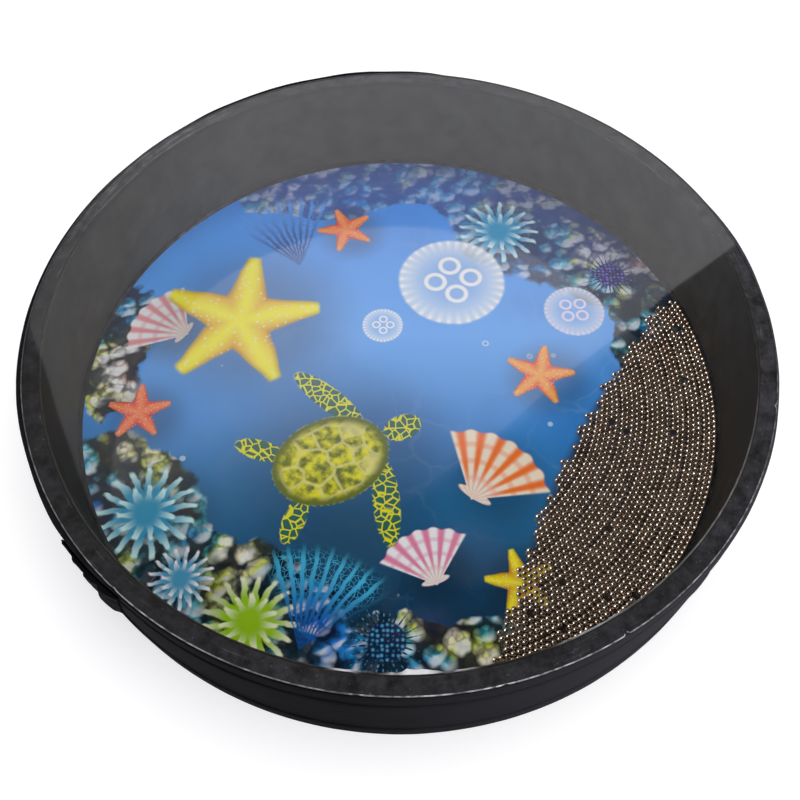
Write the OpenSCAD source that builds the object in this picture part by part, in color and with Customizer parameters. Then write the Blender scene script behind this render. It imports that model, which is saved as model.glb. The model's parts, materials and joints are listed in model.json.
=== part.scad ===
// Ocean drum: a shallow hoop with a clear head on top, a picture head below,
// and one layer of loose steel shot between them. Millimetres, +Z up.
// The origin is the centre of the underside, where the drum lies on a table.

/* [Shell] */
// Outside diameter of the bent ply hoop
shell_d = 301.8; // [260:0.2:360]
// Height of the hoop
shell_h = 50.8; // [40:0.2:80]
// Thickness of the hoop's wall
shell_wall = 6.3; // [4:0.1:10]
// Chamfer on the hoop's four edges
shell_chamfer = 0.5; // [0.2:0.1:1]

/* [Lining] */
// Thickness of the black band glued round the inside
lining_t = 0.6; // [0.3:0.1:1]
// How far the band stops short of the hoop's edges
lining_inset = 0.4; // [0.2:0.1:2]
// Extra thickness where the band's end laps over its start
lining_lap_t = 0.5; // [0.3:0.1:0.8]
// Length of that lap along the wall
lining_lap_l = 24; // [10:1:40]
// How far that lap stops short of the glue fillets
lining_lap_margin = 0.4; // [0.1:0.1:1]
// Where the lap's loose edge stands, in degrees from +X
lining_lap_az = 11.5; // [0:0.5:360]

/* [Heads] */
// Thickness of the clear film
head_t = 0.35; // [0.2:0.05:0.6]
// How far the clear film's cut edge stands past the hoop
head_overhang = 0.2; // [0:0.1:1]
// Thickness of the printed film
print_t = 0.35; // [0.2:0.05:0.6]
// How far the printed film stops short of the hoop's outside
print_inset = 0.4; // [0:0.1:1]
// Thickness of the glue between a film and the hoop
glue_t = 0.15; // [0.1:0.05:0.3]
// How far the glue stops short of the hoop's faces
glue_inset = 0.8; // [0.5:0.1:1.5]
// Leg of the glue fillet under the clear film
top_bead = 1.2; // [0.8:0.1:2]
// Leg of the glue fillet round the printed film
bottom_bead = 1.5; // [0.8:0.1:2.5]

/* [Wrap] */
// Thickness of the leathercloth band round the outside
wrap_t = 1.1; // [0.6:0.1:2]
// Height of the band's lower edge above the hoop's
wrap_low = 3.5; // [2:0.5:6]
// Depth of the band's upper edge below the hoop's
wrap_high = 10; // [6:0.5:16]
// Rounding of the strips' showing edges
wrap_round = 0.4; // [0.2:0.1:0.5]
// Thickness of the strip under the band's upper edge
upper_strip_t = 0.6; // [0.3:0.1:0.8]
// Height of that strip
upper_strip_h = 15; // [12:0.5:20]
// Depth of that strip's upper edge below the hoop's
upper_strip_drop = 0.9; // [0.5:0.1:2]
// Thickness of the hem over the band's lower edge
hem_t = 0.5; // [0.3:0.1:1]
// Height of the hem
hem_h = 8; // [7:0.5:14]

/* [Lap of the wrap] */
// Where the foot of the band's gathered end sits, in degrees from +X
lap_az = 217; // [0:1:360]
// Its length along the wall
lap_l = 40; // [30:1:80]
// How far its top is turned past its foot, in degrees
lap_lean = 8; // [0:1:15]
// Thickness of the cloth that is doubled over
lap_t = 1.2; // [0.8:0.1:2]
// How far its wrinkles stand out at the foot
wrinkle_h = 3; // [1:0.1:5]
// Number of wrinkles
wrinkles = 4; // [2:1:6]

/* [Shot] */
// Diameter of a steel ball
shot_d = 2.38; // [2:0.02:3.2]
// Free space between neighbouring balls
shot_slack = 0.13; // [0.06:0.01:0.3]
// Depth of the pile from the wall at its middle
pile_depth = 61.5; // [45:0.5:80]
// Direction in which the pile lies, in degrees from +X
pile_az = -27.4; // [-180:0.2:180]
// How far the ends of its inner edge draw back towards the wall
pile_bow = 10.5; // [0:0.5:20]
// Half of the angle that the pile spans
pile_half_angle = 48; // [30:1:60]

/* [Hidden] */
// Rows of balls along the wall, and how many of them keep step with each other
ROWS = 9;
ROWS_IN_STEP = 3;
// Bands of balls inside those rows, and the rows in each band
BANDS = 4;
ROWS_IN_BAND = 5;
// Balls in one turn of the long and of the short ripple of the pile's inner edge
LONG_RIPPLE = 9.7;
SHORT_RIPPLE = 3.6;
// Places that one row or patch may hold, so that no two share a random number
PLACES = 10000;
// Share of the places that hold no ball
void_share = 0.012;
// Share of the free space that a ball may stray to one side
wander_share = 0.42;
// Most that an edge's rounding may take of a strip's thickness, as a share
round_share = 0.8;
// Air or glue between two round faces that would otherwise coincide
seam = 0.05;
// Air between moving pieces
running = 0.1;
// Overrun of a cut past the face that it opens
cut = 1;
// Points along the lap and up it
LAP_STEPS = 26;
LAP_RISES = 7;
// Segments of a rounded edge and of a full turn
EDGE_STEPS = 4;
$fn = 180;

// Radii
shell_r = shell_d / 2;
shell_bore = shell_r - shell_wall;
lining_r = shell_bore - seam;
chamber_r = lining_r - lining_t;
wrap_in = shell_r + seam;
strip_out = wrap_in + upper_strip_t;
wrap_out = wrap_in + wrap_t;
hem_out = wrap_out + seam + hem_t;

// Heights
print_top = print_t;
shell_z = print_top + glue_t;
shell_top = shell_z + shell_h;
head_z = shell_top + glue_t;
head_top = head_z + head_t;
wrap_z = shell_z + wrap_low;
wrap_top = shell_top - wrap_high;
strip_top = shell_top - upper_strip_drop;
strip_z = strip_top - upper_strip_h;
hem_z = shell_z;
hem_top = hem_z + hem_h;

// Shot
pitch = shot_d + shot_slack;
row_pitch = pitch * cos(30);
wander = shot_slack * wander_share;
step_gap = shot_d + running;
shot_z = print_top + running + shot_d / 2;
bead_hold = (shot_d / 2 + running) * sqrt(2) - (shot_z - print_top);
row_1_r = chamber_r - bottom_bead - bead_hold - running;
pile_chord = chamber_r - pile_depth;
pile_half_span = chamber_r * sin(pile_half_angle);

// Points of a quarter circle, corner to corner, about a centre given as r and z
function quarter(centre, radius, from) =
    [for (k = [0 : EDGE_STEPS]) let (a = from + 90 * k / EDGE_STEPS) centre + radius * [cos(a), sin(a)]];

// A round strip of leathercloth: inner radius, outer radius, foot, top
module strip(inner, outer, foot, top) {
    soft = min(wrap_round, (outer - inner) * round_share);
    rotate_extrude()
        polygon(concat(
            [[inner, foot]],
            quarter([outer - soft, foot + soft], soft, -90),
            quarter([outer - soft, top - soft], soft, 0),
            [[inner, top]]
        ));
}

// A plain ring
module ring(inner, outer, foot, top) {
    translate([0, 0, foot])
        difference() {
            cylinder(r = outer, h = top - foot);
            translate([0, 0, -cut]) cylinder(r = inner, h = top - foot + 2 * cut);
        }
}

module shell() {
    c = shell_chamfer;
    color("#B08A5A")
        rotate_extrude()
            polygon([
                [shell_bore + c, shell_z], [shell_r - c, shell_z],
                [shell_r, shell_z + c], [shell_r, shell_top - c],
                [shell_r - c, shell_top], [shell_bore + c, shell_top],
                [shell_bore, shell_top - c], [shell_bore, shell_z + c]
            ]);
}

// The band round the inside, with its end lapped over its start
module inner_lining() {
    foot = shell_z + lining_inset;
    top = shell_top - lining_inset;
    patch_foot = foot + bottom_bead + lining_lap_margin;
    patch_top = top - top_bead - lining_lap_margin;
    turn = lining_lap_l / chamber_r * 180 / PI;
    color("#26262A") {
        ring(chamber_r, lining_r, foot, top);
        translate([0, 0, patch_foot])
            rotate([0, 0, lining_lap_az])
                rotate_extrude(angle = turn)
                    translate([chamber_r - lining_lap_t, 0])
                        square([lining_lap_t + lining_t / 2, patch_top - patch_foot]);
    }
}

// The main band: its upper edge lies over the upper strip
module outer_wrap() {
    soft = wrap_round;
    step_r = strip_out + seam;
    step_z = strip_z - seam;
    color("#1C1C1F")
        rotate_extrude()
            polygon(concat(
                [[wrap_in, wrap_z]],
                quarter([wrap_out - soft, wrap_z + soft], soft, -90),
                quarter([wrap_out - soft, wrap_top - soft], soft, 0),
                [[step_r, wrap_top], [step_r, step_z], [wrap_in, step_z]]
            ));
}

module upper_strip() {
    color("#232326") strip(wrap_in, strip_out, strip_z, strip_top);
}

// The hem covers the band's lower edge and reaches the hoop below it
module lower_hem() {
    soft = wrap_round;
    step_r = wrap_out + seam;
    step_z = wrap_z - seam;
    color("#2A2A2D")
        rotate_extrude()
            polygon(concat(
                [[wrap_in, hem_z]],
                quarter([hem_out - soft, hem_z + soft], soft, -90),
                quarter([hem_out - soft, hem_top - soft], soft, 0),
                [[step_r, hem_top], [step_r, step_z], [wrap_in, step_z]]
            ));
}

// The gathered end of the band, wrinkled most at its foot
lap_turn = lap_l / shell_r * 180 / PI;
lap_z = hem_z + lap_t;
lap_top = strip_top - lap_t;
lap_in = hem_out + seam;
lean_share = 0.35;
edge_share = 0.25;
function lap_swell(u) = sqrt(max(sin(180 * u), 0));
function lap_wrinkle(u, v) = pow(abs(sin(180 * wrinkles * (u + lean_share * v))), 2);
function lap_thick(u, v) =
    lap_t * (edge_share + (1 - edge_share) * lap_swell(u))
    + wrinkle_h * lap_swell(u) * (1 - v) * (1 - lean_share + lean_share * lap_wrinkle(u, v))
    + lap_t * edge_share * lap_swell(u) * lap_wrinkle(u, v);
function lap_point(r, u, v) =
    let (a = lap_az + lap_lean * v + lap_turn * (u - 1 / 2))
        [r * cos(a), r * sin(a), lap_z + (lap_top - lap_z) * v];

module wrap_lap() {
    columns = LAP_STEPS + 1;
    count = columns * (LAP_RISES + 1);
    inner = [
        for (j = [0 : LAP_RISES], i = [0 : LAP_STEPS])
            lap_point(lap_in, i / LAP_STEPS, j / LAP_RISES)
    ];
    outer = [
        for (j = [0 : LAP_RISES], i = [0 : LAP_STEPS])
            let (u = i / LAP_STEPS, v = j / LAP_RISES)
                lap_point(lap_in + lap_thick(u, v), u, v)
    ];
    // Numbers of the four corners of the patch's cell at column i and row j
    cells = [
        for (j = [0 : LAP_RISES - 1], i = [0 : LAP_STEPS - 1])
            let (a = j * columns + i) [a, a + 1, a + 1 + columns, a + columns]
    ];
    rim = concat(
        [for (i = [0 : LAP_STEPS]) i],
        [for (j = [1 : LAP_RISES]) j * columns + LAP_STEPS],
        [for (i = [1 : LAP_STEPS]) count - 1 - i],
        [for (j = [1 : LAP_RISES - 1]) (LAP_RISES - j) * columns]
    );
    split = [
        for (q = cells) each [
            [q[0], q[1], q[2]], [q[0], q[2], q[3]],
            [count + q[0], count + q[2], count + q[1]], [count + q[0], count + q[3], count + q[2]]
        ]
    ];
    sides = [
        for (k = [0 : len(rim) - 1])
            let (a = rim[k], b = rim[(k + 1) % len(rim)])
                each [[a, count + b, b], [a, count + a, count + b]]
    ];
    color("#1A1A1D") polyhedron(concat(inner, outer), concat(split, sides));
}

module clear_head() {
    color([0.85, 0.88, 0.9, 0.35])
        translate([0, 0, head_z]) cylinder(r = shell_r + head_overhang, h = head_t);
}

module printed_head() {
    color("#2C6CA8") cylinder(r = shell_r - print_inset, h = print_t);
}

module top_glue() {
    color("#15151A") ring(shell_bore + glue_inset, shell_r - glue_inset, shell_top, head_z);
}

module bottom_glue() {
    color("#15151A") ring(shell_bore + glue_inset, shell_r - glue_inset, print_top, shell_z);
}

// Three-cornered fillets in the corners between the lining and the films
module top_bead_fillet() {
    edge = chamber_r - seam;
    color("#C9C9C4")
        rotate_extrude()
            polygon([[edge, head_z], [edge - top_bead, head_z], [edge, head_z - top_bead]]);
}

module bottom_bead_fillet() {
    edge = chamber_r - seam;
    color("#1B1B1E")
        rotate_extrude()
            polygon([[edge, print_top], [edge, print_top + bottom_bead], [edge - bottom_bead, print_top]]);
}

// Places in the pile are points of a plane whose +X runs through the pile's middle.
// Place i of row k holds a ball that strays a little, or now and then none
module ball(p, stray, k, i) {
    chance = rands(0, 1, 3, PLACES * k + i);
    step = stray * chance[1];
    if (chance[0] > void_share)
        rotate([0, 0, pile_az])
            translate([p[0] + step * cos(360 * chance[2]), p[1] + step * sin(360 * chance[2]), shot_z])
                sphere(d = shot_d, $fn = 24);
}

// The pile's inner edge is bowed and ragged: its distance from the axis at side step s
function ripple(s) = sin(360 * s / (pitch * LONG_RIPPLE)) + sin(360 * s / (pitch * SHORT_RIPPLE));
function edge_at(s) = pile_chord + pile_bow * pow(s / pile_half_span, 2) + pitch / 2 * ripple(s);
function in_pile(p) = abs(atan2(p[1], p[0])) < pile_half_angle && p[0] > edge_at(p[1]);

// Every row follows the wall. The rows of one set share their angles, so each sits in the gaps of the last.
// Sets of rows along the wall come first, with room to slip past each other, then the bands
first_band_r = row_1_r - ROWS / ROWS_IN_STEP * ((ROWS_IN_STEP - 1) * row_pitch + step_gap);
band_step = (ROWS_IN_BAND - 1) * row_pitch + pitch;
function is_banded(k) = k > ROWS;
function set_size(k) = is_banded(k) ? ROWS_IN_BAND : ROWS_IN_STEP;
function set_no(k) = floor((is_banded(k) ? k - ROWS - 1 : k - 1) / set_size(k));
function set_rank(k) = (is_banded(k) ? k - ROWS - 1 : k - 1) % set_size(k);
function set_r(k) =
    is_banded(k)
        ? first_band_r - set_no(k) * band_step
        : row_1_r - set_no(k) * ((ROWS_IN_STEP - 1) * row_pitch + step_gap);
function row_r(k) = set_r(k) - set_rank(k) * row_pitch;
function row_turn(k) = pitch / (set_r(k) - (set_size(k) - 1) * row_pitch) * 180 / PI;
function row_start(k) = set_rank(k) / 2 + set_no(k) / set_size(k);
function row_place(k, i) = let (a = (i + row_start(k)) * row_turn(k)) row_r(k) * [cos(a), sin(a)];

module shot_row(k, stray = 0) {
    reach = ceil(pile_half_angle / row_turn(k));
    color("#8A7F74")
        for (i = [-reach : reach])
            if (in_pile(row_place(k, i))) ball(row_place(k, i), stray, k, i + reach);
}

module shot_band(b) {
    for (k = [1 : ROWS_IN_BAND]) shot_row(ROWS + (b - 1) * ROWS_IN_BAND + k, wander);
}

shell();
inner_lining();
outer_wrap();
upper_strip();
lower_hem();
wrap_lap();
clear_head();
printed_head();
top_glue();
bottom_glue();
top_bead_fillet();
bottom_bead_fillet();
for (k = [1 : ROWS])
    shot_row(k);
for (b = [1 : BANDS])
    shot_band(b);
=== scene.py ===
# %% [markdown]
# # An ocean drum
# An ocean drum is a shallow hoop with a film glued over each side. One layer of steel shot lies loose
# between the films and hisses over the lower one, which carries a picture. This lesson dresses the packed
# solid model: it keeps every size, and adds the cloth, the films, the picture and the light.
#
# The model arrives as a frame that never moves. Each new piece rides on one of its bodies and stands for
# the plain solid in the same place.

# %% Load the frame
import json
import math
import random

import bmesh
import bpy
import numpy as np
from mathutils import Matrix, Vector, noise


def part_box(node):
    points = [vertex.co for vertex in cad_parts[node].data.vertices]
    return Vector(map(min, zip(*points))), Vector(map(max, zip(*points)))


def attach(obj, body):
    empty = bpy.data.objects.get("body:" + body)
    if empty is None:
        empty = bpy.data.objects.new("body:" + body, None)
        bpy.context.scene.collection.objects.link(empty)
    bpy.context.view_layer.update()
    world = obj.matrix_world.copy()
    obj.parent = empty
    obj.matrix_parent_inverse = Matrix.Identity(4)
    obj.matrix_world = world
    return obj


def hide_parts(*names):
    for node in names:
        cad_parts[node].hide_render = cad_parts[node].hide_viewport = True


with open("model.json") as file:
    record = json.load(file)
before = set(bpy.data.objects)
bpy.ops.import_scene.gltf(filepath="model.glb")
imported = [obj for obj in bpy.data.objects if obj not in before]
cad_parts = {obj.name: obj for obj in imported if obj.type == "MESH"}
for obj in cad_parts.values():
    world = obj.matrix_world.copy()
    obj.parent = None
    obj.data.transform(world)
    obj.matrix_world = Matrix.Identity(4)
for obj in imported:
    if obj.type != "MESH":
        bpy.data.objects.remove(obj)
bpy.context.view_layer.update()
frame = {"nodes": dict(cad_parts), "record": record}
MM = 0.001

# %% [markdown]
# ## The camera
# A photograph of a round thing gives its camera away: a circle becomes an ellipse, and two circles at known
# heights leave only one place to stand. Four circles of the drum were fitted that way, and these are the
# results: where the lens was, how it was tilted, and how long it was for a picture 800 pixels wide.

# %% Camera
PICTURE = 800
FOCAL_PIXELS = 890.38
SENSOR = 36
film_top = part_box("clear_head")[1].z
film_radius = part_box("clear_head")[1].x
stand_off = 365.15 * MM
stand_elevation = math.radians(53.185)
look_down = math.radians(58.49)
look_aside = math.radians(-0.08)
roll = math.radians(0.62)

back = Vector((
    math.sin(look_aside) * math.cos(look_down),
    -math.cos(look_aside) * math.cos(look_down),
    math.sin(look_down),
))
level = Vector((0, 0, 1)).cross(back).normalized()
upright = back.cross(level)
right = level * math.cos(roll) + upright * math.sin(roll)
over = upright * math.cos(roll) - level * math.sin(roll)
turn = Matrix((right, over, back)).transposed().to_4x4()

camera = bpy.data.objects.new("camera", bpy.data.cameras.new("camera"))
camera.data.sensor_width = SENSOR
camera.data.lens = FOCAL_PIXELS / PICTURE * SENSOR
camera.data.clip_start = 0.01
stand = Vector((0, -math.cos(stand_elevation), math.sin(stand_elevation))) * stand_off
camera.matrix_world = Matrix.Translation(stand + Vector((0, 0, film_top))) @ turn
bpy.context.scene.collection.objects.link(camera)
bpy.context.scene.camera = camera
bpy.context.scene.view_settings.view_transform = "Standard"
print("lens", round(camera.data.lens, 2), "mm at", [round(v / MM) for v in camera.matrix_world.translation])

# %% [markdown]
# ## Small helpers for materials
# Colours are picked as the eye sees them, in sRGB, while light adds up linearly, so one function translates.
# Every node is made by one other function: sockets in their order, then settings and sockets by name.


# %% Colour and node helpers
def linear(shade):
    """A hex colour as the eye sees it, in the linear values that Blender works with."""
    parts = [int(shade[i:i + 2], 16) / 255 for i in (1, 3, 5)]
    return tuple(c / 12.92 if c <= 0.04045 else ((c + 0.055) / 1.055) ** 2.4 for c in parts) + (1.0,)


def plug(tree, socket, value):
    if isinstance(value, bpy.types.Node):
        value = next(s for s in value.outputs if s.enabled)
    if isinstance(value, bpy.types.NodeSocket):
        tree.links.new(value, socket)
    else:
        socket.default_value = linear(value) if isinstance(value, str) else value


def add(tree, kind, *plugs, stops=(), **settings):
    """One node. Plain arguments fill its sockets in order, and None leaves one alone. Named ones are
    settings, which start with a small letter, or sockets. Stops are places and colours of a colour ramp."""
    node = tree.nodes.new("ShaderNode" + kind)
    for name, value in settings.items():
        if name[0].islower():
            setattr(node, name, value)
    for name, value in settings.items():
        if not name[0].islower():
            socket = next(s for s in node.inputs if name in (s.identifier, s.name.replace(" ", "_")))
            plug(tree, socket, value)
    for socket, value in zip(node.inputs, plugs):
        if value is not None:
            plug(tree, socket, value)
    for n, (place, shade) in enumerate(stops):
        stop = node.color_ramp.elements[n] if n < 2 else node.color_ramp.elements.new(place)
        stop.position, stop.color = place, linear(shade)
    return node


def math_of(tree, operation, *values):
    return add(tree, "Math", *values, operation=operation)


def blend(tree, share, first, second):
    return add(tree, "Mix", data_type="RGBA", Factor_Float=share, A_Color=first, B_Color=second)


def finish(name):
    """A new material, its tree, and the plain place coordinates of the piece."""
    made = bpy.data.materials.new(name)
    made.use_nodes = True
    made.node_tree.nodes.clear()
    return made, made.node_tree, add(made.node_tree, "TexCoord").outputs["Object"]


def seen_directly(tree):
    """1 for what the camera sees, straight, mirrored or through a film, and 0 for light on its way."""
    ray = add(tree, "LightPath")
    seen = math_of(tree, "MAXIMUM", ray.outputs["Is Camera Ray"], ray.outputs["Is Glossy Ray"])
    return math_of(tree, "MAXIMUM", seen, ray.outputs["Is Transmission Ray"])


print("#808080 is", round(linear("#808080")[0], 3), "in linear light")

# %% [markdown]
# ## The studio
# The drum lies on a pale sheet under broad lamps. Its two films and its steel balls mirror the room, so the
# room matters: a large bright window behind the drum gives the upper film its grey sheen, a round lamp at
# the left puts one warm spot on every ball, and the rest of the room is dim. Those three are seen in
# reflections alone.


# %% Sheets that only mirrors see
def only_mirrored(thing):
    for ray in ("camera", "diffuse", "transmission", "volume_scatter", "shadow"):
        setattr(thing, "visible_" + ray, False)


def studio_sheet(name, bm, shade, low, high, fade, dim=(-1, 0, 1)):
    """A glowing sheet that only mirrors see. Its strength goes from low to high as it climbs: fade holds the
    sines of the two heights. It may be dimmer on its left: dim holds two places across, in metres, and the
    share that is left there."""
    made, tree, place = finish(name)
    rise = add(tree, "SeparateXYZ", add(tree, "VectorMath", place, operation="NORMALIZE")).outputs["Z"]
    strength = add(tree, "MapRange", rise, fade[0], fade[1], low, high, interpolation_type="SMOOTHSTEP")
    level = add(tree, "MapRange", add(tree, "SeparateXYZ", place), dim[0], dim[1], dim[2], 1.0)
    glow = math_of(tree, "MULTIPLY", strength, level)
    add(tree, "OutputMaterial", add(tree, "Emission", shade, glow))
    mesh = bpy.data.meshes.new(name)
    bm.to_mesh(mesh)
    bm.free()
    mesh.materials.append(made)
    thing = bpy.data.objects.new(name, mesh)
    bpy.context.scene.collection.objects.link(thing)
    only_mirrored(thing)


# Sizes and places in metres. The window's corners are places across and up
ROOM_RADIUS = 9
WINDOW_Y = 2.4
WINDOW_CORNERS = ((2.84, 0), (-0.46, 6.4), (-2.31, 6.4), (-1.86, 3.47), (-1.17, 0))
LAMP_AWAY = 2.2
LAMP_RADIUS = 0.95
LAMP_STRENGTH = 6.6

room = bmesh.new()
bmesh.ops.create_icosphere(room, subdivisions=3, radius=ROOM_RADIUS)
bmesh.ops.reverse_faces(room, faces=room.faces)
studio_sheet("studio_room", room, "#8a8078", low=0.25, high=0.04, fade=(0.5, 0.92))

window = bmesh.new()
corners = [window.verts.new((x, WINDOW_Y, z)) for x, z in WINDOW_CORNERS]
bmesh.ops.contextual_create(window, geom=corners)
studio_sheet("studio_window", window, "#fdfcff", low=0.61, high=0.0, fade=(0.8, 0.94),
             dim=(-1.3, -0.6, 0.55))

lamp_at = Vector((-0.8, 0.02, 0.6)).normalized() * LAMP_AWAY
lamp = bmesh.new()
bmesh.ops.create_circle(lamp, cap_ends=True, segments=48, radius=LAMP_RADIUS)
lamp_turn = (-lamp_at).to_track_quat("Z", "Y").to_matrix().to_4x4()
bmesh.ops.transform(lamp, matrix=Matrix.Translation(lamp_at) @ lamp_turn, verts=lamp.verts)
studio_sheet("studio_lamp", lamp, "#fffaf3", low=LAMP_STRENGTH, high=LAMP_STRENGTH, fade=(0, 1))
print("room, window and lamp are there for the mirrors")

# %% [markdown]
# The light that shows the colours comes from two soft discs and from the air, and leaves no reflection. The
# backdrop and the floor, a sweep of matt paper, are lifted to white only where they are seen, so they
# don't wash the drum out.

# %% Lamps, air and floor
AIR_STRENGTH = 0.5
FLOOR_SIZE = 12
FLOOR_GAP = 0.3 * MM
FLOOR_GLOW = 0.64


def soft_light(name, centre, size, power, shade):
    light = bpy.data.lights.new(name, "AREA")
    light.shape, light.size, light.energy = "DISK", size, power
    light.color = linear(shade)[:3]
    thing = bpy.data.objects.new(name, light)
    thing.location = centre
    thing.rotation_mode = "QUATERNION"
    thing.rotation_quaternion = (-Vector(centre)).to_track_quat("-Z", "Y")
    thing.visible_glossy = False
    bpy.context.scene.collection.objects.link(thing)


soft_light("key", (0.6, 0.4, 2.7), size=2.0, power=40, shade="#fffaf5")
soft_light("fill", (1.5, -1.2, 2.3), size=2.0, power=12, shade="#f4f6ff")

world = bpy.data.worlds.new("studio")
bpy.context.scene.world = world
world.use_nodes = True
air = world.node_tree
air.nodes.clear()
lighting = add(air, "Background", "#f2f4ff", AIR_STRENGTH)
backdrop = add(air, "Background", "#ffffff", 1.0)
add(air, "OutputWorld", add(air, "MixShader", seen_directly(air), lighting, backdrop))

paper, tree, place = finish("paper_sweep")
sheet = add(tree, "BsdfDiffuse", "#bcbcbc")
lift = math_of(tree, "MULTIPLY", seen_directly(tree), FLOOR_GLOW)
glow = add(tree, "Emission", "#ffffff", lift)
add(tree, "OutputMaterial", add(tree, "AddShader", sheet, glow))
floor_mesh = bmesh.new()
bmesh.ops.create_grid(floor_mesh, x_segments=1, y_segments=1, size=FLOOR_SIZE / 2)
bmesh.ops.translate(floor_mesh, vec=(0, 0, -FLOOR_GAP), verts=floor_mesh.verts)
mesh = bpy.data.meshes.new("floor")
floor_mesh.to_mesh(mesh)
floor_mesh.free()
mesh.materials.append(paper)
floor = bpy.data.objects.new("floor", mesh)
bpy.context.scene.collection.objects.link(floor)
print("studio ready:", len(bpy.data.lights), "lamps")

# %% [markdown]
# ## Helpers for pieces
# Nearly every piece but the shot is a ring, so it is a profile spun round the axis. The spin merges its
# last step with its first, and the normals are worked out again afterwards, because a spin can leave them
# inside out.


# %% Piece helpers
TURN_STEPS = 540
SMOOTH_ANGLE = math.radians(35)


def ring_from(profile, steps=TURN_STEPS):
    """A closed outline of radius and height, in metres, spun into a ring."""
    bm = bmesh.new()
    corners = [bm.verts.new((r, 0, z)) for r, z in profile]
    sides = [bm.edges.new((a, b)) for a, b in zip(corners, corners[1:] + corners[:1])]
    bmesh.ops.spin(bm, geom=corners + sides, cent=(0, 0, 0), axis=(0, 0, 1), dvec=(0, 0, 0),
                   angle=2 * math.pi, steps=steps, use_merge=True)
    bmesh.ops.remove_doubles(bm, verts=bm.verts, dist=0.001 * MM)
    bmesh.ops.recalc_face_normals(bm, faces=bm.faces)
    return bm


def azimuth(point):
    return math.degrees(math.atan2(point.y, point.x)) % 360


def push_out(vert, distance):
    """Moves a point away from the drum's axis."""
    flat = Vector((vert.co.x, vert.co.y, 0)).normalized()
    vert.co += flat * distance


def mix(first, second, share):
    return first + (second - first) * share


def bump(value, centre, half_width):
    """A smooth hill, 1 at its centre and 0 from half_width away."""
    away = min(1, abs(value - centre) / half_width)
    return (1 + math.cos(math.pi * away)) / 2


def wander(point, size, seed=0):
    """Smooth chance from -1 to 1 that changes over about that size."""
    return noise.noise(Vector(point) / size + Vector((seed * 17.3, seed * 5.1, seed * 9.7)))


def piece(name, bm, finishes, body, slot, *stands_for):
    mesh = bpy.data.meshes.new(name)
    bm.to_mesh(mesh)
    bm.free()
    for made in finishes:
        mesh.materials.append(made)
    mesh.shade_smooth()
    mesh.set_sharp_from_angle(angle=SMOOTH_ANGLE)
    thing = bpy.data.objects.new(name, mesh)
    bpy.context.scene.collection.objects.link(thing)
    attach(thing, body)
    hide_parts(*stands_for)
    print(name, len(mesh.polygons), "faces")


print("rings are spun in", TURN_STEPS, "steps")

# %% [markdown]
# ## Leathercloth
# The outside is wrapped in leathercloth: a woven backing coated with soft black PVC and embossed with a
# fine grain. The coating gives a dull shine that breaks up over pebbles about 0.6 mm wide. Rubbing leaves
# the high spots paler, and gluing leaves long shallow streaks along the band. Its right side is painted
# lighter: painted light from that side.

# %% Leathercloth material
GRAIN = 0.6 * MM
STREAK = 9 * MM


def leathercloth(name, shade, wear_and_painted_shade):
    made, tree, place = finish(name)
    pebbles = add(tree, "TexVoronoi", place, Scale=1 / GRAIN, feature="SMOOTH_F1")
    streaks = add(tree, "TexNoise", add(tree, "Mapping", place, Scale=(1, 1, 4)), Scale=1 / STREAK, Detail=5)
    rubbed = add(tree, "MapRange", streaks, 0.45, 0.75, 0.0, 1.0)
    skin = blend(tree, rubbed, shade, wear_and_painted_shade)
    # Painted light: the cloth is painted lighter towards its right side, where more light falls
    painted_side_light = add(tree, "MapRange", add(tree, "SeparateXYZ", place), -20 * MM, 110 * MM, 0.0, 0.95)
    skin = blend(tree, painted_side_light, skin, "#48484d")
    sheen = add(tree, "MapRange", streaks, 0.3, 0.7, 0.76, 0.88)
    relief = add(tree, "Bump", Height=pebbles, Strength=0.35, Distance=0.1 * MM)
    waves = add(tree, "Bump", Height=streaks, Strength=0.5, Distance=0.4 * MM, Normal=relief)
    coat = add(tree, "BsdfPrincipled", Base_Color=skin, Roughness=sheen, IOR=1.5, Normal=waves)
    plug(tree, coat.inputs["Specular IOR Level"], 0.02)
    add(tree, "OutputMaterial", coat)
    return made


black_cloth = leathercloth("leathercloth_black", "#17171a", "#222226")
strip_cloth = leathercloth("leathercloth_strip", "#17171a", "#212124")
# The hem is a lighter copy of the same cloth: painted light where its edge catches the light
hem_cloth_painted_light = leathercloth("leathercloth_hem", "#1b1b1e", "#2a2a2d")
# The gathered end is a darker copy of the same cloth: painted shade at the left of the drum
lap_cloth_painted_shade = leathercloth("leathercloth_lap", "#09090b", "#121214")
print("leathercloth with a grain of", round(GRAIN / MM, 2), "mm, in four shades")

# %% [markdown]
# ## The wrap, its strips and its gathered end
# The band was pulled round by hand, so nothing about it is quite straight. Its edges wander by a few tenths
# of a millimetre, it stands off the hoop by up to 2 mm at the back and the sides, its foot hangs loose at
# the right, and at the left the end is gathered and doubled over. So the rings are pushed out by points.

# %% Wall of the drum
wall_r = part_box("outer_wrap")[1].x
strip_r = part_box("upper_strip")[1].x
hem_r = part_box("lower_hem")[1].x
wall_in = film_radius - 0.15 * MM
wrap_foot, wrap_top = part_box("outer_wrap")[0].z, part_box("outer_wrap")[1].z
strip_foot, strip_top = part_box("upper_strip")[0].z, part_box("upper_strip")[1].z
hem_foot, hem_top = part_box("lower_hem")[0].z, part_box("lower_hem")[1].z

# The loose foot: its middle and half width in degrees, how far it hangs out and how high that reaches
LOOSE_AZ = 323
LOOSE_HALF = 5
LOOSE_OUT = 1.4 * MM
LOOSE_TOP = 34 * MM
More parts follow.
